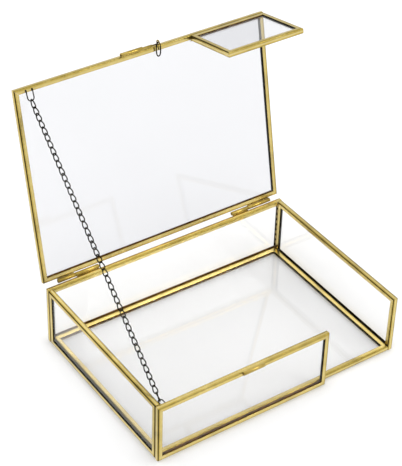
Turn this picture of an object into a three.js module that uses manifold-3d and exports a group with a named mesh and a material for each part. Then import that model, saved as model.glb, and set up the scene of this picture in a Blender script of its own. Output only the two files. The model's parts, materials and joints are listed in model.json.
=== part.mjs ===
// A brass and glass card box: a glazed tray with a part-width front, a hinged glazed lid that
// carries the missing piece of the front as a flap, a pin latch and a chain that stops the lid.
// Millimetres, +X to the right along the front, +Y to the back, +Z up.
// The lid is drawn shut and then turned open about its hinges, which is the stored pose.
// The origin is the middle of the open box seen from above, at the surface that it stands on.
import * as THREE from "three";
import { mergeVertices } from "three/addons/utils/BufferGeometryUtils.js";
import Module from "manifold-3d";

const wasm = await Module();
wasm.setup();

// The tray's clear inside.
const INSIDE_WIDTH = 190;
const INSIDE_DEPTH = 134;
const WALL_HEIGHT = 46;
const ORIGIN_DEPTH = 83; // from the front's inner face to half-way between latch and open lid
// The folded channel that edges every pane, and the pane in it.
const CHANNEL = 4; // across the edge, so also the thickness of a glazed panel
const FLANGE = 3.4; // how far each side laps over the glass
const SHEET = 0.5;
const MITRE_SLIT = 0.25;
const MITRE_OVERRUN = 0.3; // the slit runs this far past the flange's inner corner
const THROUGH = 1; // a cutting tool stands this far out of what it cuts
const PANE = 2.8;
const PANE_CLEARANCE = 0.1;
// The front panel stops short of the right side, and the lid's flap fills the rest.
const FRONT_PANEL_END = 131.8;
const FLAP_START = 132.2;
const FLAP_FOOT = 0.7; // height of the flap's lower edge when the lid is shut
const FLAP_SOLDER_GAP = 0.1;
const LID_GAP = 1.2; // between the walls' tops and the lid
const LID_OVERHANG = 0.3; // the lid's front edge stands this far in front of the front panel
const LID_OPEN = THREE.MathUtils.degToRad(101.8);
// Every small tube is the same stock, centred on the line where lid and tray meet.
const TUBE_RADIUS = 1.45;
const BORE_RADIUS = 0.95;
const TUBE_SIDES = 20;
const HINGE_STANDOFF = 1.5; // axis to the rear faces
const HINGE_PIN_RADIUS = 0.9;
const PIN_RECESS = 1.3;
const KNUCKLE_GAP = 0.3;
const SOLDER_HEIGHT = 2.3; // how far a run of solder climbs the face, from the seam line
const HINGES = [
  { side: "left", start: 6.5, split: 20.4, end: 39, lidFirst: true },
  { side: "right", start: 152, split: 166.2, end: 186, lidFirst: false },
];
// The latch is a wire pin that slides through two tubes of its own, with a loose pull loop.
const LATCH_STANDOFF = 1.6; // axis to the lid's front face
const LATCH_PIN_RADIUS = 0.88;
const LATCH_TRAY_TUBE = [59.5, 76.3];
const LATCH_LID_TUBE = [76.6, 93.5];
const LATCH_PIN_TIP = 78;
const LATCH_PIN_NECK = 101.5; // from here to the eye the wire is thinner
const EYE_AT = 105.5;
const EYE_WIRE = 0.5;
const EYE_RADIUS = 1.5;
const EYE_DROP = 1.3; // eye centre below and in front of the pin's axis
const PULL_WIRE = 0.45;
const PULL_HALF_LENGTH = 5;
const PULL_HALF_WIDTH = 1.7;
const PULL_LEAN = THREE.MathUtils.degToRad(6); // it rests against the open lid
// The chain runs from a staple on the front panel to a staple under the lid's front rail.
const STAPLE_WIRE = 0.4;
const STAPLE_HOLE = 0.46;
const STAPLE_PROUD = 0.05; // the leg's end stops this far inside the sheet's far face
const TRAY_STAPLE = { x: 2.5, reach: 5, halfWidth: 1.6, z: 44.2, bowDrop: 0 };
const LID_STAPLE = { x: 6.9, reach: 4.95, halfWidth: 2.3, z: 46, bowDrop: 0.5 };
const LID_STAPLE_ROOT = -2.6;
const LID_STAPLE_DROP = 0.65; // from the lid's underside to the legs' centre lines
const CHAIN_WIRE = 0.45;
const LINK_HALF_WIDTH = 1.45;
const LINKS_PER_SECTION = [8, 5, 8, 1, 1, 1, 3, 6, 3, 3, 3, 2];
const HOOK_INSIDE = 0.35; // half the distance between two hooked bows that are joined
const HOOK_JOINT = 0.56; // the same where one section turns on the next
const HOOK_STAPLE = 0.95; // bow to the staple's wire
const OVAL_POWER = 2.4;

// Derived places, with x measured from the tray's left inner face and y from its front inner face.
const LID_UNDERSIDE = WALL_HEIGHT + LID_GAP;
const LID_FRONT = -CHANNEL - LID_OVERHANG;
const REAR_FACE = INSIDE_DEPTH + CHANNEL;
const SEAM_HEIGHT = WALL_HEIGHT + LID_GAP / 2;
const HINGE_Y = REAR_FACE + HINGE_STANDOFF;
const LATCH_Y = LID_FRONT - LATCH_STANDOFF;

const brass = new THREE.MeshStandardMaterial({ color: 0xc7a552, roughness: 0.32, metalness: 1 });
const darkBrass = new THREE.MeshStandardMaterial({ color: 0x4a4128, roughness: 0.45, metalness: 1 });
const glass = new THREE.MeshStandardMaterial({
  color: 0xeef1f6,
  roughness: 0.05,
  metalness: 0,
  transparent: true,
  opacity: 0.25,
});

// Solids for cutting and joining, and back to a drawable geometry.
function solid(geometry) {
  const bare = new THREE.BufferGeometry();
  const flat = geometry.index ? geometry.toNonIndexed() : geometry;
  bare.setAttribute("position", flat.getAttribute("position"));
  const merged = mergeVertices(bare, 1e-4);
  return new wasm.Manifold(
    new wasm.Mesh({
      numProp: 3,
      vertProperties: merged.attributes.position.array,
      triVerts: new Uint32Array(merged.index.array),
    }),
  );
}

function drawable(body) {
  const mesh = body.getMesh();
  const geometry = new THREE.BufferGeometry();
  const positions = new THREE.BufferAttribute(mesh.vertProperties, mesh.numProp);
  geometry.setAttribute("position", positions);
  geometry.setIndex(new THREE.BufferAttribute(mesh.triVerts, 1));
  const faceted = geometry.toNonIndexed();
  faceted.computeVertexNormals();
  return faceted;
}

// A box from its low corner and its size.
function block(x, y, z, width, depth, height) {
  const geometry = new THREE.BoxGeometry(width, depth, height);
  return geometry.translate(x + width / 2, y + depth / 2, z + height / 2);
}

// A cylinder along X.
function rod(fromX, toX, y, z, radius, sides = TUBE_SIDES) {
  const geometry = new THREE.CylinderGeometry(radius, radius, toX - fromX, sides);
  return geometry.rotateZ(-Math.PI / 2).translate((fromX + toX) / 2, y, z);
}

// A cylinder along Z.
function post(x, y, fromZ, toZ, radius) {
  const geometry = new THREE.CylinderGeometry(radius, radius, toZ - fromZ, 12);
  return geometry.rotateX(Math.PI / 2).translate(x, y, (fromZ + toZ) / 2);
}

// A flat outline given as [y, z] points, extruded along X.
function prism(fromX, toX, outline) {
  const shape = new THREE.Shape(outline.map(([y, z]) => new THREE.Vector2(y, z)));
  const geometry = new THREE.ExtrudeGeometry(shape, { depth: toX - fromX, bevelEnabled: false });
  const turn = new THREE.Matrix4().makeBasis(
    new THREE.Vector3(0, 1, 0),
    new THREE.Vector3(0, 0, 1),
    new THREE.Vector3(1, 0, 0),
  );
  return geometry.applyMatrix4(turn).translate(fromX, 0, 0);
}

// One strip of channel folded round a pane: it lies in XY from the origin, CHANNEL thick.
// Its flanges meet in open mitres, and the strip's two ends meet at the seam corner.
function channelFrame(width, height, seamCorner) {
  const tall = CHANNEL + 2 * THROUGH;
  const lap = 2 * FLANGE;
  const skin = 2 * SHEET;
  const windowHole = block(FLANGE, FLANGE, -THROUGH, width - lap, height - lap, tall);
  const slot = block(SHEET, SHEET, SHEET, width - skin, height - skin, CHANNEL - skin);
  let body = solid(block(0, 0, 0, width, height, CHANNEL));
  body = body.subtract(solid(windowHole)).subtract(solid(slot));
  const corners = [
    [0, 0],
    [width, 0],
    [width, height],
    [0, height],
  ];
  corners.forEach(([x, y], corner) => {
    const angle = Math.PI / 4 + (corner * Math.PI) / 2;
    const start = corner === seamCorner ? -THROUGH : SHEET * Math.SQRT2;
    const end = (FLANGE + MITRE_OVERRUN) * Math.SQRT2;
    const slit = block(start, -MITRE_SLIT / 2, -THROUGH, end - start, MITRE_SLIT, tall);
    slit.rotateZ(angle).translate(x, y, 0);
    body = body.subtract(solid(slit));
  });
  return body;
}

function pane(width, height) {
  const edge = SHEET + PANE_CLEARANCE;
  return block(edge, edge, (CHANNEL - PANE) / 2, width - 2 * edge, height - 2 * edge, PANE);
}

// A short tube along X with its run of solder, given as an outline that ends inside the tube.
function solderedTube(fromX, toX, y, z, solder) {
  const joined = solid(rod(fromX, toX, y, z, TUBE_RADIUS)).add(solid(prism(fromX, toX, solder)));
  const bore = solid(rod(fromX - THROUGH, toX + THROUGH, y, z, BORE_RADIUS));
  return drawable(joined.subtract(bore));
}

// A round wire along a path of points.
function wire(points, radius, steps) {
  const section = new THREE.Shape().absarc(0, 0, radius, 0, 2 * Math.PI, false);
  const path = new THREE.CatmullRomCurve3(points, false, "centripetal");
  return new THREE.ExtrudeGeometry(section, { steps, curveSegments: 8, extrudePath: path });
}

// An oval wire link, long way along X and flat in XY, twisted about X from one end to the other.
function ovalLink(halfLength, halfWidth, wireRadius, twistFrom, twistTo, sides, segments) {
  const geometry = new THREE.TorusGeometry(1, wireRadius, sides, segments);
  const places = geometry.getAttribute("position");
  const point = new THREE.Vector3();
  const axis = new THREE.Vector3(1, 0, 0);
  const power = 2 / OVAL_POWER;
  const bulge = (value) => Math.sign(value) * Math.abs(value) ** power;
  for (let i = 0; i < places.count; i++) {
    point.fromBufferAttribute(places, i);
    const around = Math.atan2(point.y, point.x);
    const outward = Math.hypot(point.x, point.y) - 1;
    const x = halfLength * bulge(Math.cos(around));
    const y = halfWidth * bulge(Math.sin(around));
    const steep = OVAL_POWER - 1;
    const normal = new THREE.Vector2(
      (Math.sign(x) * Math.abs(x / halfLength) ** steep) / halfLength,
      (Math.sign(y) * Math.abs(y / halfWidth) ** steep) / halfWidth,
    ).normalize();
    const along = (x / halfLength + 1) / 2;
    point.set(x + outward * normal.x, y + outward * normal.y, point.z);
    point.applyAxisAngle(axis, THREE.MathUtils.lerp(twistFrom, twistTo, along));
    places.setXYZ(i, point.x, point.y, point.z);
  }
  return geometry;
}

// A U of wire: legs along Y from a root, then a bow from height z that dips by bowDrop.
function stapleWire({ x, reach, halfWidth, z, bowDrop }, root) {
  const bend = reach - halfWidth;
  const points = root.map(([y, height]) => new THREE.Vector3(x - halfWidth, y, height));
  const turns = 10;
  for (let i = 0; i <= turns; i++) {
    const angle = Math.PI - (Math.PI * i) / turns;
    const bowX = x + halfWidth * Math.cos(angle);
    const bowY = bend + halfWidth * Math.sin(angle);
    points.push(new THREE.Vector3(bowX, bowY, z - bowDrop * Math.sin(angle)));
  }
  const back = root.map(([y, height]) => new THREE.Vector3(x + halfWidth, y, height));
  return wire([...points, ...back.reverse()], STAPLE_WIRE, 40);
}

const box = new THREE.Group();
const tray = new THREE.Group();
tray.position.set(-INSIDE_WIDTH / 2, -ORIGIN_DEPTH, 0);
box.add(tray);
// The lid's group turns about the hinge line, and what it holds keeps the tray's coordinates.
const lidTurn = new THREE.Group();
lidTurn.position.set(0, HINGE_Y, SEAM_HEIGHT);
lidTurn.rotation.x = -LID_OPEN;
tray.add(lidTurn);
const lid = new THREE.Group();
lid.position.set(0, -HINGE_Y, -SEAM_HEIGHT);
lidTurn.add(lid);

function place(group, name, geometry, material) {
  const mesh = new THREE.Mesh(geometry, material.clone());
  mesh.name = name;
  group.add(mesh);
  return mesh;
}

// A frame and its pane, lying flat or turned up on edge.
const FLAT = [0, 0, 0];
const FACING_FRONT = [Math.PI / 2, 0, 0];
const FACING_SIDE = [Math.PI / 2, Math.PI / 2, 0];

function glazedPanel(group, name, width, height, corner, turn, seamCorner, holes = []) {
  let frame = channelFrame(width, height, seamCorner);
  for (const hole of holes) frame = frame.subtract(solid(hole));
  const frameMesh = place(group, `${name}_frame`, drawable(frame), brass);
  const paneMesh = place(group, `${name}_glass`, pane(width, height), glass);
  for (const mesh of [frameMesh, paneMesh]) {
    mesh.position.set(...corner);
    mesh.rotation.set(...turn);
  }
}

function makeTrayPanels() {
  const fullWidth = INSIDE_WIDTH + 2 * CHANNEL;
  const frontWidth = FRONT_PANEL_END + CHANNEL;
  const stapleHoles = [-1, 1].map((side) => {
    const x = TRAY_STAPLE.x + side * TRAY_STAPLE.halfWidth + CHANNEL;
    return post(x, TRAY_STAPLE.z, -THROUGH, SHEET + 0.1, STAPLE_HOLE);
  });
  glazedPanel(tray, "floor", INSIDE_WIDTH, INSIDE_DEPTH, [0, 0, 0], FLAT, 1);
  glazedPanel(tray, "left", INSIDE_DEPTH, WALL_HEIGHT, [-CHANNEL, 0, 0], FACING_SIDE, 3);
  glazedPanel(tray, "right", INSIDE_DEPTH, WALL_HEIGHT, [INSIDE_WIDTH, 0, 0], FACING_SIDE, 2);
  glazedPanel(tray, "rear", fullWidth, WALL_HEIGHT, [-CHANNEL, REAR_FACE, 0], FACING_FRONT, 2);
  glazedPanel(tray, "front", frontWidth, WALL_HEIGHT, [-CHANNEL, 0, 0], FACING_FRONT, 2, stapleHoles);
}

function makeLidPanels() {
  const width = INSIDE_WIDTH + 2 * CHANNEL;
  const depth = REAR_FACE - LID_FRONT;
  const stapleHoles = [-1, 1].map((side) => {
    const x = LID_STAPLE.x + side * LID_STAPLE.halfWidth + CHANNEL;
    return post(x, LID_STAPLE_ROOT - LID_FRONT, -THROUGH, SHEET + 0.1, STAPLE_HOLE);
  });
  glazedPanel(lid, "lid", width, depth, [-CHANNEL, LID_FRONT, LID_UNDERSIDE], FLAT, 0, stapleHoles);
  const flapWidth = INSIDE_WIDTH + CHANNEL - FLAP_START;
  const flapHeight = LID_UNDERSIDE - FLAP_SOLDER_GAP - FLAP_FOOT;
  const flapCorner = [FLAP_START, LID_FRONT + CHANNEL, FLAP_FOOT];
  glazedPanel(lid, "flap", flapWidth, flapHeight, flapCorner, FACING_FRONT, 0);
}

// The solder between a face and a tube as [y, z], with two corners inside the tube's wall.
// The sign is +1 above the seam line, on the lid, and -1 below it, on the tray.
function solderOutline(faceY, axisY, sign) {
  const outward = Math.sign(axisY - faceY);
  const inWall = (TUBE_RADIUS + BORE_RADIUS) / 2;
  const low = THREE.MathUtils.degToRad(158);
  const high = THREE.MathUtils.degToRad(62);
  return [
    [faceY, SEAM_HEIGHT + sign * (LID_GAP / 2 + 0.05)],
    [axisY + outward * inWall * Math.cos(low), SEAM_HEIGHT + sign * inWall * Math.sin(low)],
    [axisY + outward * inWall * Math.cos(high), SEAM_HEIGHT + sign * inWall * Math.sin(high)],
    [faceY, SEAM_HEIGHT + sign * SOLDER_HEIGHT],
  ];
}

function makeHinges() {
  for (const { side, start, split, end, lidFirst } of HINGES) {
    const halfGap = KNUCKLE_GAP / 2;
    const spans = [
      [start, split - halfGap],
      [split + halfGap, end],
    ];
    const [lidSpan, traySpan] = lidFirst ? spans : [spans[1], spans[0]];
    const trayOutline = solderOutline(REAR_FACE, HINGE_Y, -1);
    const lidOutline = solderOutline(REAR_FACE, HINGE_Y, 1);
    const trayTube = solderedTube(...traySpan, HINGE_Y, SEAM_HEIGHT, trayOutline);
    const lidTube = solderedTube(...lidSpan, HINGE_Y, SEAM_HEIGHT, lidOutline);
    const pin = rod(start + PIN_RECESS, end - PIN_RECESS, HINGE_Y, SEAM_HEIGHT, HINGE_PIN_RADIUS);
    place(tray, `${side}_hinge_tray_knuckle`, trayTube, brass);
    place(lid, `${side}_hinge_lid_knuckle`, lidTube, brass);
    place(tray, `${side}_hinge_pin`, pin, brass);
  }
}

function makeLatch() {
  const trayOutline = solderOutline(-CHANNEL, LATCH_Y, -1);
  const lidOutline = solderOutline(LID_FRONT, LATCH_Y, 1);
  const trayTube = solderedTube(...LATCH_TRAY_TUBE, LATCH_Y, SEAM_HEIGHT, trayOutline);
  const lidTube = solderedTube(...LATCH_LID_TUBE, LATCH_Y, SEAM_HEIGHT, lidOutline);
  place(tray, "latch_tray_tube", trayTube, brass);
  place(lid, "latch_lid_tube", lidTube, brass);

  const eyeY = LATCH_Y - EYE_DROP;
  const eyeZ = SEAM_HEIGHT - EYE_DROP;
  const shank = rod(LATCH_PIN_TIP, LATCH_PIN_NECK, LATCH_Y, SEAM_HEIGHT, LATCH_PIN_RADIUS);
  const neck = rod(LATCH_PIN_NECK - 1, EYE_AT, LATCH_Y, SEAM_HEIGHT, EYE_WIRE, 12);
  const eye = new THREE.TorusGeometry(EYE_RADIUS, EYE_WIRE, 8, 20);
  eye.rotateY(Math.PI / 2).translate(EYE_AT, eyeY, eyeZ);
  place(lid, "latch_pin", drawable(solid(shank).add(solid(neck)).add(solid(eye))), brass);

  const loop = ovalLink(PULL_HALF_LENGTH, PULL_HALF_WIDTH, PULL_WIRE, 0, 0, 8, 28);
  loop.translate(PULL_HALF_LENGTH, 0, 0).rotateZ(Math.PI / 2).rotateX(PULL_LEAN);
  loop.translate(EYE_AT, eyeY, eyeZ);
  place(lid, "latch_pull_loop", loop, darkBrass);
}

function makeStaples() {
  const trayRoot = [
    [STAPLE_PROUD - SHEET, TRAY_STAPLE.z],
    [1.4, TRAY_STAPLE.z],
  ];
  place(tray, "chain_tray_staple", stapleWire(TRAY_STAPLE, trayRoot), darkBrass);
  const flat = LID_UNDERSIDE - LID_STAPLE_DROP;
  const lidRoot = [
    [LID_STAPLE_ROOT, LID_UNDERSIDE + SHEET - STAPLE_PROUD],
    [LID_STAPLE_ROOT, LID_UNDERSIDE],
    [LID_STAPLE_ROOT + 0.6, flat],
    [0.4, flat],
  ];
  place(lid, "chain_lid_staple", stapleWire(LID_STAPLE, lidRoot), darkBrass);
}

// The chain is taut in the stored pose: a straight run between the two staples' bows.
function chainEnds() {
  const low = new THREE.Vector3(TRAY_STAPLE.x, TRAY_STAPLE.reach, TRAY_STAPLE.z);
  const dip = LID_STAPLE.z - LID_STAPLE.bowDrop;
  const high = new THREE.Vector3(LID_STAPLE.x, LID_STAPLE.reach - HINGE_Y, dip - SEAM_HEIGHT);
  high.applyAxisAngle(new THREE.Vector3(1, 0, 0), -LID_OPEN);
  high.add(new THREE.Vector3(0, HINGE_Y, SEAM_HEIGHT));
  return { low, high };
}

function makeChain() {
  const { low, high } = chainEnds();
  const along = high.clone().sub(low);
  const pitch = along.length() / LINKS_PER_SECTION.reduce((sum, count) => sum + count, 0);
  along.normalize();
  const across = new THREE.Vector3(1, 0, 0).addScaledVector(along, -along.x).normalize();
  const basis = new THREE.Matrix4().makeBasis(along, across, along.clone().cross(across));
  const chain = new THREE.Group();
  chain.position.copy(low);
  chain.quaternion.setFromRotationMatrix(basis);
  tray.add(chain);

  const eighth = Math.PI / 4;
  const last = LINKS_PER_SECTION.length - 1;
  let start = 0;
  LINKS_PER_SECTION.forEach((count, section) => {
    let body = null;
    for (let i = 0; i < count; i++) {
      const firstOfAll = section === 0 && i === 0;
      const lastOfAll = section === last && i === count - 1;
      const hookBefore = firstOfAll ? HOOK_STAPLE : i === 0 ? HOOK_JOINT : HOOK_INSIDE;
      const hookAfter = lastOfAll ? HOOK_STAPLE : i === count - 1 ? HOOK_JOINT : HOOK_INSIDE;
      const from = i * pitch - hookBefore;
      const to = (i + 1) * pitch + hookAfter;
      const twistFrom = firstOfAll ? 2 * eighth : -eighth;
      const twistTo = lastOfAll ? -2 * eighth : eighth;
      const halfLength = (to - from) / 2;
      const link = ovalLink(halfLength, LINK_HALF_WIDTH, CHAIN_WIRE, twistFrom, twistTo, 6, 16);
      const piece = solid(link.translate((from + to) / 2, 0, 0));
      body = body ? body.add(piece) : piece;
    }
    const name = `chain_section_${String(section + 1).padStart(2, "0")}`;
    place(chain, name, drawable(body), darkBrass).position.x = start * pitch;
    start += count;
  });
}

makeTrayPanels();
makeLidPanels();
makeHinges();
makeLatch();
makeStaples();
makeChain();

export default box;
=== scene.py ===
import json
import math

import bmesh
import bpy
from mathutils import Matrix, Vector, noise


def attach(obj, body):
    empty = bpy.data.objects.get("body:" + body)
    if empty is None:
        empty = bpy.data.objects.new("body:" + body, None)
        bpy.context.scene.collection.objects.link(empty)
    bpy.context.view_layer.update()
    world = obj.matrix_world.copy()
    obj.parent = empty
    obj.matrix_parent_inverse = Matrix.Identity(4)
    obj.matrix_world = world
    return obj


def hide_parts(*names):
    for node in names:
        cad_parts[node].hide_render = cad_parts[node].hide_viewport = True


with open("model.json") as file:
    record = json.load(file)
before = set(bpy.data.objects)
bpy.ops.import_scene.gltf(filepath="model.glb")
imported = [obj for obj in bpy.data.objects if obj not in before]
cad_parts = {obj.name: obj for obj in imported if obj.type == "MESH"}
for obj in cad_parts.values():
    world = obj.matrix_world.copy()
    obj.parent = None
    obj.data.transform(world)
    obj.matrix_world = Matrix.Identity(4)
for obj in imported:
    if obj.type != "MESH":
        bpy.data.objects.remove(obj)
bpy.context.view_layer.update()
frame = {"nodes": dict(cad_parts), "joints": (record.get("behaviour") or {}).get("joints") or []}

MM = 0.001
# The channel's section.
CHANNEL = 4.0 * MM
FLANGE = 3.4 * MM
SHEET = 0.5 * MM
FOLD = 0.75 * MM
CROWN = 0.10 * MM
MITRE_GAP = 0.05 * MM
LIP = 0.12 * MM
INSIDE_EASING = 0.15 * MM
FLANGE_MIDDLE = FLANGE * 0.62
RAIL_STEP = 6 * MM
EDGE_BAND = 0.3 * MM  # the flange's edge wanders by up to EDGE_WOBBLE within this band
EDGE_WOBBLE = 0.07 * MM
FOLD_SHADE_ALONG_X = 0.5  # painted shade along the folds is half as strong on rails along X, which keep brighter folds than the others
PANE_BEVEL = 0.3 * MM
# Tubes, pins and wire.
TUBE_RADIUS = 1.45 * MM
BORE_RADIUS = 0.95 * MM
HINGE_PIN_RADIUS = 0.9 * MM
LATCH_PIN_RADIUS = 0.88 * MM
EYE_WIRE = 0.5 * MM
EYE_RADIUS = 1.5 * MM
EYE_DROP = 1.3 * MM
PULL_WIRE = 0.45 * MM
PULL_HALF_LENGTH = 5.0 * MM
PULL_HALF_WIDTH = 1.7 * MM
PULL_LEAN = math.radians(6)
STAPLE_WIRE = 0.4 * MM
CHAIN_WIRE = 0.41 * MM
LINK_HALF_WIDTH = 1.45 * MM
LINKS_PER_SECTION = [8, 5, 8, 1, 1, 1, 3, 6, 3, 3, 3, 2]
HOOK_INSIDE = 0.42 * MM
HOOK_JOINT = 0.68 * MM
HOOK_STAPLE = 0.95 * MM
OVAL_POWER = 2.4
CHAMFER = 0.14 * MM
FILLET_STEP = 0.5 * MM
FILLET_END = 0.4 * MM
PIN_ROUND_OFF = 0.3 * MM
NECK_LENGTH = 4.0 * MM
BOW_STEPS = 16
LID_BOW_DROP = 0.5 * MM
# Finishes.
# Painted highlight: the cream colour laid along the middles of the channel's faces.
PAINTED_HIGHLIGHT_BRASS = (0.93, 0.80, 0.47, 1.0)
# Painted shade: the near-black brown laid along the channel's folds.
PAINTED_FOLD_SHADE = (0.030, 0.018, 0.005, 1.0)
GLASS_IOR = 1.37
# Solder beads at the tray's corners and along the flap's joint.
CORNER_BEAD = Vector((0.55, 0.55, 0.9)) * MM
SEAM_BEAD = Vector((0.35, 0.35, 1.6)) * MM
FLAP_BEAD = Vector((2.4, 0.45, 0.4)) * MM
SEAM_BEADS = 9
FLAP_BEADS = 12
# The studio. The world is brighter than white, so the backdrop clips to white.
WORLD_LIGHT = 1.29
FLOOR_SIZE = 6.0
FLOOR_HEIGHT = -0.0002
# The camera's aim and distance are in inside widths of the tray.
CAMERA_AZIMUTH = math.radians(-35.783)
CAMERA_ELEVATION = math.radians(37.30)
CAMERA_ROLL = math.radians(2.147)
CAMERA_AIM = Vector((0.7078, 0.7074, 0.2))
CAMERA_DISTANCE = 6.051
CAMERA_LENS = 122.5
CAMERA_SHIFT = (-0.03079, 0.00376)

joints = {j["name"]: j for j in frame["joints"]}
hinge = joints["lid_hinge"]
HINGE = Vector(hinge["pos_m"])
OPEN = math.radians(hinge["range_deg"][1])
TRAY = Matrix.Identity(4)
LID = Matrix.Translation(HINGE) @ Matrix.Rotation(-OPEN, 4, "X") @ Matrix.Translation(-HINGE)
SHUT = LID.inverted()


def shut_box(node, place):
    """A node's box in the shut box's coordinates, where every panel lies square."""
    back = place.inverted()
    points = [back @ v.co for v in frame["nodes"][node].data.vertices]
    low = Vector([min(p[i] for p in points) for i in range(3)])
    high = Vector([max(p[i] for p in points) for i in range(3)])
    return low, high


# ---------------------------------------------------------------- materials


def new_material(name):
    material = bpy.data.materials.new(name)
    material.use_nodes = True
    tree = material.node_tree
    tree.nodes.clear()
    output = tree.nodes.new("ShaderNodeOutputMaterial")
    shader = tree.nodes.new("ShaderNodeBsdfPrincipled")
    tree.links.new(shader.outputs[0], output.inputs[0])
    return material, tree, shader


def noise_node(tree, vector, scale, detail=4.0, rough=0.5, distortion=0.0):
    node = tree.nodes.new("ShaderNodeTexNoise")
    node.inputs["Scale"].default_value = scale
    node.inputs["Detail"].default_value = detail
    node.inputs["Roughness"].default_value = rough
    node.inputs["Distortion"].default_value = distortion
    tree.links.new(vector, node.inputs["Vector"])
    return node.outputs[0]


def ramp(tree, factor, stops):
    node = tree.nodes.new("ShaderNodeValToRGB")
    while len(node.color_ramp.elements) < len(stops):
        node.color_ramp.elements.new(0.5)
    for element, (position, colour) in zip(node.color_ramp.elements, stops):
        element.position = position
        element.color = (*colour, 1.0) if isinstance(colour, tuple) else (colour, colour, colour, 1.0)
    tree.links.new(factor, node.inputs[0])
    return node.outputs[0]


def mixed(tree, factor, first, second, blend="MIX"):
    node = tree.nodes.new("ShaderNodeMix")
    node.data_type = "RGBA"
    node.blend_type = blend
    for socket, value in ((node.inputs[0], factor), (node.inputs[6], first), (node.inputs[7], second)):
        if isinstance(value, bpy.types.NodeSocket):
            tree.links.new(value, socket)
        else:
            socket.default_value = value
    return node.outputs[2]


def stretch_range(tree, value, low, high):
    """A value taken from low..high to 0..1."""
    node = tree.nodes.new("ShaderNodeMapRange")
    node.interpolation_type = "SMOOTHSTEP"
    node.inputs["From Min"].default_value = low
    node.inputs["From Max"].default_value = high
    tree.links.new(value, node.inputs["Value"])
    return node.outputs[0]


def reflected_ray(tree):
    """1 for a ray that a surface mirrors, 0 for one seen directly or through glass."""
    path = tree.nodes.new("ShaderNodeLightPath")
    node = tree.nodes.new("ShaderNodeMath")
    node.operation = "SUBTRACT"
    node.use_clamp = True
    tree.links.new(path.outputs["Is Glossy Ray"], node.inputs[0])
    tree.links.new(path.outputs["Is Transmission Ray"], node.inputs[1])
    return node.outputs[0]


def bump(tree, height, distance, strength=1.0, normal=None):
    node = tree.nodes.new("ShaderNodeBump")
    node.inputs["Strength"].default_value = strength
    node.inputs["Distance"].default_value = distance
    tree.links.new(height, node.inputs["Height"])
    if normal is not None:
        tree.links.new(normal, node.inputs["Normal"])
    return node.outputs[0]


def stretched(tree, source, scale):
    node = tree.nodes.new("ShaderNodeMapping")
    node.inputs["Scale"].default_value = scale
    tree.links.new(source, node.inputs["Vector"])
    return node.outputs[0]


def make_brass(name, dark, mid, light, rough_low, rough_high, brushed):
    """Satin brass: drifting tone, rolling lines, tarnish spots, painted shade along the folds and
    painted highlights along the middles.
    """
    material, tree, shader = new_material(name)
    coords = tree.nodes.new("ShaderNodeTexCoord")
    place = coords.outputs["Object"]
    tone = noise_node(tree, place, 55.0, 5.0, 0.6)
    colour = ramp(tree, tone, [(0.30, dark), (0.50, mid), (0.72, light)])
    spots = noise_node(tree, place, 900.0, 3.0, 0.65)
    spotted = ramp(tree, spots, [(0.62, 0.0), (0.74, 0.55)])
    tarnish = (dark[0] * 0.42, dark[1] * 0.38, dark[2] * 0.34, 1.0)
    colour = mixed(tree, spotted, colour, tarnish)
    if brushed:
        lines_at = stretched(tree, coords.outputs["UV"], (60.0, 5200.0, 1.0))
    else:
        lines_at = stretched(tree, place, (400.0, 2600.0, 2600.0))
    lines = noise_node(tree, lines_at, 1.0, 3.0, 0.6)
    streak = ramp(tree, lines, [(0.25, 0.80), (0.75, 1.0)])
    colour = mixed(tree, 0.8, colour, streak, "MULTIPLY")
    if brushed:
        # Painted light: the attribute's red channel paints shade along the folds, and its green channel
        # paints a highlight along the middles.
        painted_light = tree.nodes.new("ShaderNodeAttribute")
        painted_light.attribute_name = "painted_light"
        split = tree.nodes.new("ShaderNodeSeparateColor")
        tree.links.new(painted_light.outputs["Color"], split.inputs[0])
        broken = ramp(tree, lines, [(0.30, 0.70), (0.62, 1.0)])
        fold_shade = mixed(tree, 1.0, split.outputs[0], broken, "MULTIPLY")
        highlight_mask = mixed(tree, 1.0, split.outputs[1], broken, "MULTIPLY")
        colour = mixed(tree, highlight_mask, colour, PAINTED_HIGHLIGHT_BRASS)
        colour = mixed(tree, fold_shade, colour, PAINTED_FOLD_SHADE)
    tree.links.new(colour, shader.inputs["Base Color"])
    rough = mixed(tree, 0.5, tone, lines)
    roughness = ramp(tree, rough, [(0.30, rough_low), (0.70, rough_high)])
    tree.links.new(roughness, shader.inputs["Roughness"])
    dents = noise_node(tree, place, 160.0, 2.0, 0.5)
    normal = bump(tree, lines, 0.00003, 0.7)
    normal = bump(tree, dents, 0.00045, 0.35, normal)
    tree.links.new(normal, shader.inputs["Normal"])
    shader.inputs["Metallic"].default_value = 1.0
    shader.inputs["Coat Weight"].default_value = 0.04
    shader.inputs["Coat Roughness"].default_value = 0.15
    return material


def make_channel_inside(name, dark, light):
    """The inside of the channel, painted dark as shade, seen as a dark line through the glass."""
    material, tree, shader = new_material(name)
    place = tree.nodes.new("ShaderNodeTexCoord").outputs["Object"]
    tone = noise_node(tree, place, 120.0, 4.0, 0.6)
    colour = ramp(tree, tone, [(0.3, dark), (0.7, light)])
    tree.links.new(colour, shader.inputs["Base Color"])
    grain = noise_node(tree, place, 1500.0, 3.0, 0.6)
    tree.links.new(ramp(tree, grain, [(0.3, 0.45), (0.7, 0.75)]), shader.inputs["Roughness"])
    tree.links.new(bump(tree, grain, 0.00005, 0.6), shader.inputs["Normal"])
    shader.inputs["Specular IOR Level"].default_value = 0.1
    return material


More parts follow.
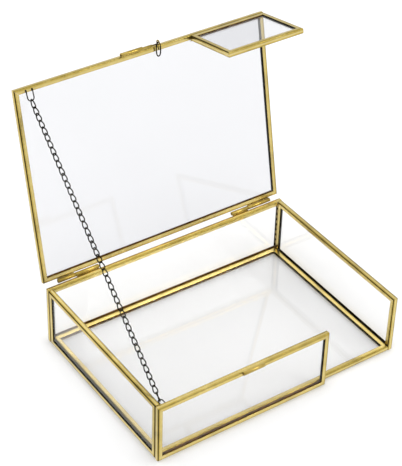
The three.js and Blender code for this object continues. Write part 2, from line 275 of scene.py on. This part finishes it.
def make_dark_brass():
    """Antiqued wire: dark, rubbed lighter in random patches."""
    material, tree, shader = new_material("antiqued_brass")
    place = tree.nodes.new("ShaderNodeTexCoord").outputs["Object"]
    patches = noise_node(tree, place, 420.0, 4.0, 0.65)
    colour = ramp(
        tree,
        patches,
        [(0.32, (0.006, 0.005, 0.002)), (0.52, (0.018, 0.014, 0.007)), (0.72, (0.10, 0.082, 0.044))],
    )
    tree.links.new(colour, shader.inputs["Base Color"])
    fine = noise_node(tree, place, 2200.0, 3.0, 0.6)
    tree.links.new(ramp(tree, fine, [(0.3, 0.26), (0.7, 0.48)]), shader.inputs["Roughness"])
    tree.links.new(bump(tree, fine, 0.00004, 0.5), shader.inputs["Normal"])
    shader.inputs["Metallic"].default_value = 1.0
    return material


def make_solder():
    """Plated solder: paler and lumpier than the rolled strip."""
    material, tree, shader = new_material("plated_solder")
    place = tree.nodes.new("ShaderNodeTexCoord").outputs["Object"]
    tone = noise_node(tree, place, 500.0, 4.0, 0.6)
    colour = ramp(tree, tone, [(0.3, (0.34, 0.25, 0.10)), (0.7, (0.70, 0.57, 0.30))])
    tree.links.new(colour, shader.inputs["Base Color"])
    tree.links.new(ramp(tree, tone, [(0.3, 0.24), (0.7, 0.42)]), shader.inputs["Roughness"])
    tree.links.new(bump(tree, tone, 0.00012, 0.6), shader.inputs["Normal"])
    shader.inputs["Metallic"].default_value = 1.0
    return material


def make_glass(name, tint, lamp_tint):
    """Float glass, lightly smudged; lamps shine through it by a plain tint instead."""
    material, tree, shader = new_material(name)
    output = next(n for n in tree.nodes if n.type == "OUTPUT_MATERIAL")
    place = tree.nodes.new("ShaderNodeTexCoord").outputs["Object"]
    smudge = noise_node(tree, place, 28.0, 5.0, 0.62, 0.4)
    tree.links.new(ramp(tree, smudge, [(0.45, 0.0), (0.75, 0.035)]), shader.inputs["Roughness"])
    shader.inputs["Base Color"].default_value = (*tint, 1.0)
    shader.inputs["Transmission Weight"].default_value = 1.0
    shader.inputs["IOR"].default_value = GLASS_IOR
    shader.inputs["Specular IOR Level"].default_value = 0.15
    wave = noise_node(tree, place, 14.0, 1.0, 0.4)
    tree.links.new(bump(tree, wave, 0.0006, 0.05), shader.inputs["Normal"])
    clear = tree.nodes.new("ShaderNodeBsdfTransparent")
    clear.inputs[0].default_value = (*lamp_tint, 1.0)
    path = tree.nodes.new("ShaderNodeLightPath")
    both = tree.nodes.new("ShaderNodeMixShader")
    tree.links.new(path.outputs["Is Shadow Ray"], both.inputs[0])
    tree.links.new(shader.outputs[0], both.inputs[1])
    tree.links.new(clear.outputs[0], both.inputs[2])
    tree.links.new(both.outputs[0], output.inputs[0])
    return material


def make_floor():
    """A plain pale floor. Mirror reflections see it as a glow that is dark at the front left."""
    material, tree, shader = new_material("studio_floor")
    place = tree.nodes.new("ShaderNodeTexCoord").outputs["Object"]
    tone = noise_node(tree, place, 6.0, 3.0, 0.5)
    colour = ramp(tree, tone, [(0.3, (0.91, 0.91, 0.91)), (0.7, (0.93, 0.93, 0.93))])
    tree.links.new(colour, shader.inputs["Base Color"])
    shader.inputs["Roughness"].default_value = 0.9
    shader.inputs["Specular IOR Level"].default_value = 0.1
    split = tree.nodes.new("ShaderNodeSeparateXYZ")
    tree.links.new(place, split.inputs[0])
    across = stretch_range(tree, split.outputs[0], -0.20, -0.09)
    along = stretch_range(tree, split.outputs[1], -0.12, 0.02)
    lit = mixed(tree, 1.0, across, along, "LIGHTEN")
    glow = tree.nodes.new("ShaderNodeEmission")
    tree.links.new(ramp(tree, lit, [(0.0, 0.03), (1.0, 0.98)]), glow.inputs["Color"])
    both = tree.nodes.new("ShaderNodeMixShader")
    tree.links.new(reflected_ray(tree), both.inputs[0])
    tree.links.new(shader.outputs[0], both.inputs[1])
    tree.links.new(glow.outputs[0], both.inputs[2])
    output = next(n for n in tree.nodes if n.type == "OUTPUT_MATERIAL")
    tree.links.new(both.outputs[0], output.inputs[0])
    return material


BRASS = make_brass(
    "satin_brass", (0.42, 0.31, 0.06), (0.66, 0.49, 0.10), (0.80, 0.63, 0.20), 0.16, 0.30, True
)
TUBE_BRASS = make_brass(
    "tube_brass", (0.28, 0.19, 0.035), (0.48, 0.34, 0.07), (0.68, 0.51, 0.15), 0.15, 0.30, False
)
# Painted shade for the channel's insides: near black on the rails not along X, dark brown on the rails
# along X.
INSIDE = make_channel_inside("channel_inside", (0.002, 0.0015, 0.001), (0.012, 0.007, 0.002))
INSIDE_WARM = make_channel_inside("channel_inside_warm", (0.060, 0.026, 0.005), (0.260, 0.125, 0.028))
DARK_BRASS = make_dark_brass()
SOLDER = make_solder()
# The lid's and the flap's panes are tinted grey, and the bright studio lifts that to a pale grey.
CLEAR_GLASS = make_glass("clear_glass", (0.990, 0.989, 0.987), (0.996, 0.996, 0.996))
LID_GLASS = make_glass("lid_clear_glass", (0.815, 0.818, 0.836), (0.99, 0.99, 0.994))


# ---------------------------------------------------------------- mesh helpers


def finish_piece(name, bm, place, materials, body, nodes, smooth_angle=35.0):
    """Turns a bmesh drawn shut into a piece in its stored place, riding on a body."""
    bmesh.ops.recalc_face_normals(bm, faces=bm.faces)
    for face in bm.faces:
        face.smooth = True
    for edge in bm.edges:
        if len(edge.link_faces) == 2:
            edge.smooth = edge.calc_face_angle(0.0) < math.radians(smooth_angle)
    bm.transform(place)
    mesh = bpy.data.meshes.new(name)
    bm.to_mesh(mesh)
    bm.free()
    piece = bpy.data.objects.new(name, mesh)
    bpy.context.scene.collection.objects.link(piece)
    for material in materials:
        mesh.materials.append(material)
    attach(piece, body)
    if nodes:
        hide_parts(*nodes)


def skin(bm, rings, closed_along, slot=0):
    """Joins rings of vertices into a tube, capped unless it closes on itself."""
    count = len(rings[0])
    spans = len(rings) if closed_along else len(rings) - 1
    for i in range(spans):
        here, there = rings[i], rings[(i + 1) % len(rings)]
        for k in range(count):
            face = bm.faces.new((here[k], here[(k + 1) % count], there[(k + 1) % count], there[k]))
            face.material_index = slot
    if not closed_along:
        bm.faces.new(rings[0]).material_index = slot
        bm.faces.new(rings[-1]).material_index = slot


def wire(bm, points, radius, sides=12, closed=False):
    """A round wire along points, its section carried along without twist."""
    count = len(points)
    tangents = []
    for i in range(count):
        before = points[i - 1] if closed or i else points[0]
        after = points[(i + 1) % count] if closed or i < count - 1 else points[-1]
        tangents.append((after - before).normalized())
    side = tangents[0].orthogonal().normalized()
    sides_at = []
    for i in range(count):
        side = (side - tangents[i] * side.dot(tangents[i])).normalized()
        sides_at.append(side)
    twist = 0.0
    if closed:
        start = (side - tangents[0] * side.dot(tangents[0])).normalized()
        across = tangents[0].cross(sides_at[0])
        twist = math.atan2(start.dot(across), start.dot(sides_at[0]))
    rings = []
    for i in range(count):
        across = tangents[i].cross(sides_at[i])
        ring = []
        for k in range(sides):
            angle = 2 * math.pi * k / sides - twist * i / count
            offset = sides_at[i] * math.cos(angle) + across * math.sin(angle)
            ring.append(bm.verts.new(points[i] + offset * radius))
        rings.append(ring)
    skin(bm, rings, closed)


def turned(bm, axis_y, axis_z, profile, sides=40, closed=True):
    """A solid of revolution about a line along X; profile is (x, radius), a loop if closed."""
    rings = []
    for x, radius in profile:
        ring = []
        for k in range(sides):
            angle = 2 * math.pi * k / sides
            y = axis_y + radius * math.cos(angle)
            ring.append(bm.verts.new((x, y, axis_z + radius * math.sin(angle))))
        rings.append(ring)
    skin(bm, rings, closed)


def blob(bm, centre, size, seed):
    """A small lump of solder."""
    made = bmesh.ops.create_icosphere(bm, subdivisions=3, radius=1.0)
    for vertex in made["verts"]:
        push = 1.0 + 0.22 * noise.noise(vertex.co * 1.7 + Vector((seed, 0, 0)))
        vertex.co = centre + Vector([vertex.co[i] * size[i] * push for i in range(3)])


# ---------------------------------------------------------------- glazed panels


def channel_section():
    """The channel's outline as (inset from the edge, height, is inside, painted fold shade, painted
    highlight).
    """
    points = []

    def spot(x, y, inside=False, fold=0.0, painted_highlight=0.0):
        points.append((x, y, inside, fold, painted_highlight))

    def arc(cx, cy, radius, start, end, inside, steps=6):
        for i in range(steps + 1):
            share = i / steps
            angle = math.radians(start + (end - start) * share)
            # Painted shade, strongest at the middle of each outer fold.
            fold = 0.0 if inside else min(1.0, 1.5 * math.sin(math.pi * share))
            spot(cx + radius * math.cos(angle), cy + radius * math.sin(angle), inside, fold)

    # Painted highlight: the last number brightens the middles of the web and the flanges.
    spot(FLANGE - LIP, 0.0, painted_highlight=0.25)
    spot(FLANGE_MIDDLE, 0.0, painted_highlight=0.45)
    arc(FOLD + CROWN, FOLD, FOLD, 270, 180, False)
    spot(CROWN * 0.25, CHANNEL * 0.32, painted_highlight=0.1)
    spot(0.0, CHANNEL * 0.5, painted_highlight=0.7)
    spot(CROWN * 0.25, CHANNEL * 0.68, painted_highlight=0.1)
    arc(FOLD + CROWN, CHANNEL - FOLD, FOLD, 180, 90, False)
    spot(FLANGE_MIDDLE, CHANNEL, painted_highlight=0.45)
    spot(FLANGE - LIP, CHANNEL, painted_highlight=0.25)
    spot(FLANGE, CHANNEL - LIP, True)
    spot(FLANGE, CHANNEL - SHEET + LIP, True)
    spot(FLANGE - LIP, CHANNEL - SHEET, True)
    inner = FOLD - SHEET + INSIDE_EASING
    arc(SHEET + inner, CHANNEL - SHEET - inner, inner, 90, 180, True, 2)
    arc(SHEET + inner, SHEET + inner, inner, 180, 270, True, 2)
    spot(FLANGE - LIP, SHEET, True)
    spot(FLANGE, SHEET - LIP, True)
    spot(FLANGE, LIP, True)
    return points


SECTION = channel_section()


def panel_axes(low, high):
    """Width, height and thickness directions of a panel's box."""
    size = high - low
    thin = min(range(3), key=lambda i: size[i])
    u, v = [i for i in range(3) if i != thin]
    return u, v, thin


def channel_frame(name, node, place, body):
    """Four mitred rails of folded strip round a pane, with painted shade on their folds and painted
    highlights along their middles.
    """
    low, high = shut_box(node, place)
    u, v, thin = panel_axes(low, high)
    unit = [Vector([1.0 if i == axis else 0.0 for i in range(3)]) for axis in range(3)]
    width, height = high[u] - low[u], high[v] - low[v]
    bm = bmesh.new()
    layer = bm.loops.layers.uv.new("UVMap")
    painted_light = bm.loops.layers.float_color.new("painted_light")
    lengths = [0.0]
    for here, there in zip(SECTION, SECTION[1:] + SECTION[:1]):
        lengths.append(lengths[-1] + math.hypot(there[0] - here[0], there[1] - here[1]))
    corners = [(0, 0), (width, 0), (width, height), (0, height)]
    for side in range(4):
        start = Vector((*corners[side], 0))
        end = Vector((*corners[(side + 1) % 4], 0))
        along = (end - start).normalized()
        inward = Vector((-along.y, along.x, 0))
        runs_along_x = abs(along.x) > 0.5 and u == 0
        # Painted shade along the folds, weaker on rails along X.
        fold_shade_strength = FOLD_SHADE_ALONG_X if runs_along_x else 1.0
        length = (end - start).length
        steps = max(6, int(length / RAIL_STEP))
        rings = []
        for i in range(steps + 1):
            ring = []
            for inset, rise, *_ in SECTION:
                first, last = inset + MITRE_GAP, length - inset - MITRE_GAP
                reach = first + (last - first) * i / steps
                wobble = 0.0
                if 0 < i < steps and inset > FLANGE - EDGE_BAND:
                    wobble = EDGE_WOBBLE * noise.noise(Vector((reach * 90, side * 7.3, rise * 500)))
                flat = start + along * reach + inward * (inset - abs(wobble))
                point = low + unit[u] * flat.x + unit[v] * flat.y + unit[thin] * rise
                ring.append(bm.verts.new(point))
            rings.append(ring)
        count = len(SECTION)
        for i in range(steps):
            for k in range(count):
                n = (k + 1) % count
                face = bm.faces.new((rings[i][k], rings[i][n], rings[i + 1][n], rings[i + 1][k]))
                is_inside = SECTION[k][2] and SECTION[n][2]
                # The inside faces take the painted shade, the browner one on rails along X.
                face.material_index = (2 if runs_along_x else 1) if is_inside else 0
                at = [(i, k), (i, k + 1), (i + 1, k + 1), (i + 1, k)]
                for loop, (step, place_k) in zip(face.loops, at):
                    loop[layer].uv = (length * (side + step / steps), lengths[place_k])
                    fold, painted_highlight = SECTION[place_k % count][3:5]
                    loop[painted_light] = (fold * fold_shade_strength, painted_highlight, 0.0, 1.0)
        for ring in (rings[0], rings[-1]):
            bm.faces.new(ring).material_index = 0
    finish_piece(name, bm, place, [BRASS, INSIDE, INSIDE_WARM], body, [node])


def glass_pane(name, node, place, body, material):
    """A pane with ground edges."""
    low, high = shut_box(node, place)
    bm = bmesh.new()
    bmesh.ops.create_cube(bm, size=1.0)
    for vertex in bm.verts:
        vertex.co = Vector([low[i] + (vertex.co[i] + 0.5) * (high[i] - low[i]) for i in range(3)])
    bmesh.ops.bevel(bm, geom=bm.edges[:], offset=PANE_BEVEL, segments=2, profile=0.6, affect="EDGES")
    finish_piece(name, bm, place, [material], body, [node], 15.0)


for panel in ("floor", "left", "right", "rear", "front"):
    channel_frame(f"{panel}_channel", f"{panel}_frame", TRAY, "base")
    glass_pane(f"{panel}_pane", f"{panel}_glass", TRAY, "base", CLEAR_GLASS)
for panel in ("lid", "flap"):
    channel_frame(f"{panel}_channel", f"{panel}_frame", LID, "lid")
    glass_pane(f"{panel}_pane", f"{panel}_glass", LID, "lid", LID_GLASS)


# ---------------------------------------------------------------- tubes, pins and latch


def soldered_tube(name, node, place, body, axis_y, axis_z, face_y, up):
    """A short drawn tube with a fillet of solder between it and its panel."""
    low, high = shut_box(node, place)
    start, end = low.x, high.x
    bm = bmesh.new()
    profile = [
        (start, TUBE_RADIUS - CHAMFER),
        (start + CHAMFER * 0.3, TUBE_RADIUS - CHAMFER * 0.3),
        (start + CHAMFER, TUBE_RADIUS),
        (end - CHAMFER, TUBE_RADIUS),
        (end - CHAMFER * 0.3, TUBE_RADIUS - CHAMFER * 0.3),
        (end, TUBE_RADIUS - CHAMFER),
        (end, BORE_RADIUS + CHAMFER * 0.5),
        (end - CHAMFER, BORE_RADIUS),
        (start + CHAMFER, BORE_RADIUS),
        (start, BORE_RADIUS + CHAMFER * 0.5),
    ]
    turned(bm, axis_y, axis_z, profile)
    outward = 1.0 if axis_y > face_y else -1.0
    steps = int((end - start) / FILLET_STEP)
    rings = []
    for i in range(steps + 1):
        x = start + FILLET_END + (end - start - 2 * FILLET_END) * i / steps
        lump = 1.0 + 0.22 * noise.noise(Vector((x * 420, axis_y * 50, up)))
        if i in (0, steps):
            lump *= 0.75
        outline = [
            (face_y, 0.68 * MM),
            (axis_y - outward * 1.1 * MM, 0.55 * MM),
            (axis_y - outward * 0.75 * MM, 0.95 * MM),
            (axis_y - outward * 0.1 * MM, 1.32 * MM),
            (axis_y - outward * 0.55 * MM, 1.62 * MM * lump),
            (axis_y - outward * 1.05 * MM, 1.95 * MM * lump),
            (face_y, 2.25 * MM * lump),
        ]
        rings.append([bm.verts.new((x, y, axis_z + up * rise)) for y, rise in outline])
    skin(bm, rings, False, slot=1)
    finish_piece(name, bm, place, [TUBE_BRASS, SOLDER], body, [node])


def hinge_pin(side):
    """A round pin with eased ends, through one hinge's two tubes."""
    low, high = shut_box(f"{side}_hinge_pin", TRAY)
    radius = HINGE_PIN_RADIUS
    ease = PIN_ROUND_OFF
    bm = bmesh.new()
    profile = [
        (low.x, radius * 0.15),
        (low.x, radius - ease),
        (low.x + ease * 0.35, radius - ease * 0.35),
        (low.x + ease, radius),
        (high.x - ease, radius),
        (high.x - ease * 0.35, radius - ease * 0.35),
        (high.x, radius - ease),
        (high.x, radius * 0.15),
    ]
    turned(bm, HINGE.y, HINGE.z, profile, closed=False)
    finish_piece(f"{side}_pin", bm, TRAY, [TUBE_BRASS], "base", [f"{side}_hinge_pin"])


rear_face = shut_box("rear_frame", TRAY)[1].y
lid_rear = shut_box("lid_frame", LID)[1].y
for side in ("left", "right"):
    soldered_tube(
        f"{side}_tray_tube", f"{side}_hinge_tray_knuckle", TRAY, "base", HINGE.y, HINGE.z, rear_face, -1
    )
    soldered_tube(
        f"{side}_lid_tube", f"{side}_hinge_lid_knuckle", LID, "lid", HINGE.y, HINGE.z, lid_rear, 1
    )
    hinge_pin(side)

eye = SHUT @ Vector(joints["latch_loop_swing"]["pos_m"])
LATCH_Y, LATCH_Z = eye.y + EYE_DROP, eye.z + EYE_DROP
front_face = shut_box("front_frame", TRAY)[0].y
lid_front = shut_box("lid_frame", LID)[0].y
soldered_tube("latch_front_tube", "latch_tray_tube", TRAY, "base", LATCH_Y, LATCH_Z, front_face, -1)
soldered_tube("latch_top_tube", "latch_lid_tube", LID, "lid", LATCH_Y, LATCH_Z, lid_front, 1)


def make_latch_pin():
    """The latch's wire pin: a blunt point, a thinner neck and an eye for the pull loop."""
    low = shut_box("latch_pin", LID)[0]
    shoulder = eye.x - NECK_LENGTH
    radius = LATCH_PIN_RADIUS
    bm = bmesh.new()
    profile = [
        (low.x, radius * 0.1),
        (low.x + 0.05 * MM, radius * 0.5),
        (low.x + 0.3 * MM, radius * 0.85),
        (low.x + 0.7 * MM, radius),
        (shoulder - 0.6 * MM, radius),
        (shoulder, EYE_WIRE),
        (eye.x - 0.5 * MM, EYE_WIRE),
        (eye.x, EYE_WIRE * 0.9),
        (eye.x + 0.2 * MM, EYE_WIRE * 0.5),
    ]
    turned(bm, LATCH_Y, LATCH_Z, profile, sides=28, closed=False)
    ring = []
    for i in range(40):
        angle = 2 * math.pi * i / 40
        offset = Vector((0, EYE_RADIUS * math.cos(angle), EYE_RADIUS * math.sin(angle)))
        ring.append(eye + offset)
    wire(bm, ring, EYE_WIRE, 12, closed=True)
    finish_piece("latch_pin_wire", bm, LID, [TUBE_BRASS], "latch_pin", ["latch_pin"])


def oval(half_length, half_width, twist_from, twist_to, steps):
    """Points of an oval link along X, turned about X from one end to the other."""
    points = []
    for i in range(steps):
        angle = 2 * math.pi * i / steps
        c, s = math.cos(angle), math.sin(angle)
        x = half_length * math.copysign(abs(c) ** (2 / OVAL_POWER), c)
        y = half_width * math.copysign(abs(s) ** (2 / OVAL_POWER), s)
        share = (x / half_length + 1) / 2
        twist = twist_from + (twist_to - twist_from) * share
        points.append(Vector((x, y * math.cos(twist), y * math.sin(twist))))
    return points


def make_pull_loop():
    """The oval loop that hangs from the pin's eye."""
    turn = Matrix.Rotation(PULL_LEAN, 4, "X") @ Matrix.Rotation(math.pi / 2, 4, "Z")
    shift = Matrix.Translation(eye) @ turn @ Matrix.Translation((PULL_HALF_LENGTH, 0, 0))
    points = [shift @ p for p in oval(PULL_HALF_LENGTH, PULL_HALF_WIDTH, 0, 0, 48)]
    bm = bmesh.new()
    wire(bm, points, PULL_WIRE, 12, closed=True)
    nodes = ["latch_pull_loop"]
    finish_piece("pull_loop", bm, LID, [DARK_BRASS], "latch_pull_loop", nodes)


make_latch_pin()
make_pull_loop()


# ---------------------------------------------------------------- chain


def make_staple(name, node, place, body, height, root, bow_drop):
    """A U of wire: legs along Y, then a bow that may dip."""
    low, high = shut_box(node, place)
    middle = (low.x + high.x) / 2
    half = (high.x - low.x) / 2 - STAPLE_WIRE
    reach = high.y - STAPLE_WIRE
    bend = reach - half
    left = [Vector((middle - half, y, z)) for y, z in root]
    bow = []
    for i in range(BOW_STEPS + 1):
        angle = math.pi - math.pi * i / BOW_STEPS
        z = height - bow_drop * math.sin(angle)
        bow.append(Vector((middle + half * math.cos(angle), bend + half * math.sin(angle), z)))
    right = [Vector((middle + half, y, z)) for y, z in reversed(root)]
    bm = bmesh.new()
    wire(bm, left + bow + right, STAPLE_WIRE, 12)
    finish_piece(name, bm, place, [DARK_BRASS], body, [node])


tray_low, tray_high = shut_box("chain_tray_staple", TRAY)
low_y = tray_low.y
staple_z = tray_high.z - STAPLE_WIRE
bow_start = tray_high.y - STAPLE_WIRE - (tray_high.x - tray_low.x) / 2 + STAPLE_WIRE
tray_root = [(low_y + (bow_start - low_y) * i / 6, staple_z) for i in range(6)]
make_staple("tray_staple", "chain_tray_staple", TRAY, "base", staple_z, tray_root, 0.0)

lid_low, lid_high = shut_box("chain_lid_staple", LID)
lid_under = shut_box("lid_frame", LID)[0].z
root_y = lid_low.y + STAPLE_WIRE
flat_z = lid_under - 0.65 * MM
lid_root = [
    (root_y, lid_high.z),
    (root_y, lid_under),
    (root_y + 0.12 * MM, lid_under - 0.35 * MM),
    (root_y + 0.5 * MM, flat_z),
    (root_y + 1.2 * MM, flat_z),
    (root_y + 3.0 * MM, flat_z),
]
bow_z = lid_low.z + STAPLE_WIRE + LID_BOW_DROP
make_staple("lid_staple", "chain_lid_staple", LID, "lid", bow_z, lid_root, LID_BOW_DROP)

CHAIN_LOW = Vector(joints["chain_pivot_01"]["pos_m"])
CHAIN_HIGH = Vector(joints[f"chain_pivot_{len(LINKS_PER_SECTION):02d}"]["pos_m"])


def make_chain():
    """A straight curb chain between the staples, in sections that turn on each other."""
    along = CHAIN_HIGH - CHAIN_LOW
    pitch = along.length / sum(LINKS_PER_SECTION)
    along.normalize()
    across = (Vector((1, 0, 0)) - along * along.x).normalized()
    basis = Matrix((along, across, along.cross(across))).transposed().to_4x4()
    origin = Matrix.Translation(CHAIN_LOW) @ basis
    eighth = math.pi / 4
    last = len(LINKS_PER_SECTION) - 1
    done = 0
    for section, count in enumerate(LINKS_PER_SECTION):
        bm = bmesh.new()
        for i in range(count):
            first_of_all = section == 0 and i == 0
            last_of_all = section == last and i == count - 1
            before = HOOK_STAPLE if first_of_all else HOOK_JOINT if i == 0 else HOOK_INSIDE
            after = HOOK_STAPLE if last_of_all else HOOK_JOINT if i == count - 1 else HOOK_INSIDE
            start = (done + i) * pitch - before
            end = (done + i + 1) * pitch + after
            twist_from = 2 * eighth if first_of_all else -eighth
            twist_to = -2 * eighth if last_of_all else eighth
            points = oval((end - start) / 2, LINK_HALF_WIDTH, twist_from, twist_to, 32)
            middle = Matrix.Translation(((start + end) / 2, 0, 0))
            wire(bm, [origin @ middle @ p for p in points], CHAIN_WIRE, 10, closed=True)
        done += count
        body = f"chain_section_{section + 1:02d}"
        name = f"chain_links_{section + 1:02d}"
        finish_piece(name, bm, TRAY, [DARK_BRASS], body, [body])


make_chain()


# ---------------------------------------------------------------- solder at the corners


def corner_solder(name, place, body, spots):
    """Lumps of solder, each given as (centre, half sizes), in one piece."""
    bm = bmesh.new()
    for seed, (centre, size) in enumerate(spots):
        blob(bm, centre, size, seed * 3.7)
    finish_piece(name, bm, place, [SOLDER], body, [], 60.0)


left_low, left_high = shut_box("left_frame", TRAY)
right_low = shut_box("right_frame", TRAY)[0]
inner_left, inner_right = left_high.x, right_low.x
inner_front, inner_rear = left_low.y, left_high.y
top, bottom = left_high.z, left_low.z
spots = []
for x, y in ((inner_left, inner_front), (inner_left, inner_rear), (inner_right, inner_rear)):
    for z in (top - 0.75 * MM, top - 2.2 * MM):
        spots.append((Vector((x, y, z)), CORNER_BEAD))
    sign_x = 1 if x == inner_left else -1
    sign_y = 1 if y == inner_front else -1
    for step in range(SEAM_BEADS):
        share = step / (SEAM_BEADS - 1)
        z = bottom + CHANNEL + 0.3 * MM + (top - bottom - 2 * CHANNEL) * share
        lean = Vector((sign_x * 0.1 * MM, sign_y * 0.1 * MM, 0))
        spots.append((Vector((x, y, z)) + lean, SEAM_BEAD))
corner_solder("tray_corner_solder", TRAY, "base", spots)

flap_low, flap_high = shut_box("flap_frame", LID)
spots = []
for step in range(FLAP_BEADS):
    share = step / (FLAP_BEADS - 1)
    x = flap_low.x + 2 * MM + (flap_high.x - flap_low.x - 4 * MM) * share
    spots.append((Vector((x, flap_high.y, flap_high.z - 0.1 * MM)), FLAP_BEAD))
corner_solder("flap_joint_solder", LID, "lid", spots)


# ---------------------------------------------------------------- studio and camera

bpy.ops.mesh.primitive_plane_add(size=FLOOR_SIZE, location=(0, 0, FLOOR_HEIGHT))
floor = bpy.context.object
floor.name = "studio_floor"
floor.data.materials.append(make_floor())


def area_light(name, location, target, size, power):
    """A white softbox. It lights gloss and glass but not diffuse surfaces."""
    light = bpy.data.lights.new(name, "AREA")
    light.shape = "RECTANGLE"
    light.size, light.size_y = size
    light.energy = power
    lamp = bpy.data.objects.new(name, light)
    lamp.location = location
    aim = Vector(target) - Vector(location)
    lamp.rotation_euler = aim.to_track_quat("-Z", "Y").to_euler()
    lamp.visible_diffuse = False
    bpy.context.scene.collection.objects.link(lamp)


area_light("key_softbox", (0.65, -0.85, 0.95), (0, 0, 0.05), (0.35, 0.35), 2.6)
area_light("rear_softbox", (-0.15, 1.15, 1.05), (0, 0, 0.08), (0.45, 0.30), 0.9)


def make_world():
    """White all round; only in mirror reflections is the left side of the studio dark."""
    world = bpy.data.worlds.new("studio")
    bpy.context.scene.world = world
    world.use_nodes = True
    tree = world.node_tree
    background = next(n for n in tree.nodes if n.type == "BACKGROUND")
    around = tree.nodes.new("ShaderNodeTexCoord").outputs["Generated"]
    split = tree.nodes.new("ShaderNodeSeparateXYZ")
    tree.links.new(around, split.inputs[0])
    rightness = stretch_range(tree, split.outputs[0], -0.62, 0.25)
    side_light = ramp(tree, rightness, [(0.0, 0.05), (1.0, 0.72)])
    upness = stretch_range(tree, split.outputs[2], 0.60, 0.98)
    top_light = ramp(tree, upness, [(0.0, 0.0), (1.0, 0.5)])
    reflected = mixed(tree, 1.0, side_light, top_light, "ADD")
    white = (WORLD_LIGHT, WORLD_LIGHT, WORLD_LIGHT, 1.0)
    seen = mixed(tree, reflected_ray(tree), white, reflected)
    tree.links.new(seen, background.inputs["Color"])
    background.inputs["Strength"].default_value = 1.0


make_world()

# The camera, measured on the tray: x from its left inner face, y from its front inner face. It is
# rolled a little, so the picture leans to one side.
WIDTH = inner_right - inner_left
origin = Vector((inner_left, inner_front, bottom))
target = origin + CAMERA_AIM * WIDTH
back = Vector(
    (
        math.sin(CAMERA_AZIMUTH) * math.cos(CAMERA_ELEVATION),
        -math.cos(CAMERA_AZIMUTH) * math.cos(CAMERA_ELEVATION),
        math.sin(CAMERA_ELEVATION),
    )
)
side = (-back).cross(Vector((0, 0, 1))).normalized()
over = side.cross(-back)
right_axis = side * math.cos(CAMERA_ROLL) + over * math.sin(CAMERA_ROLL)
up_axis = over * math.cos(CAMERA_ROLL) - side * math.sin(CAMERA_ROLL)
camera_data = bpy.data.cameras.new("camera")
camera_data.sensor_fit = "VERTICAL"
camera_data.sensor_height = 36.0
camera_data.lens = CAMERA_LENS
camera_data.shift_x, camera_data.shift_y = CAMERA_SHIFT
camera_data.clip_start = 0.05
camera_data.clip_end = 30.0
camera = bpy.data.objects.new("camera", camera_data)
turn = Matrix((right_axis, up_axis, back)).transposed().to_4x4()
camera.matrix_world = Matrix.Translation(target + back * (CAMERA_DISTANCE * WIDTH)) @ turn
bpy.context.scene.collection.objects.link(camera)
bpy.context.scene.camera = camera
bpy.context.scene.view_settings.view_transform = "Standard"
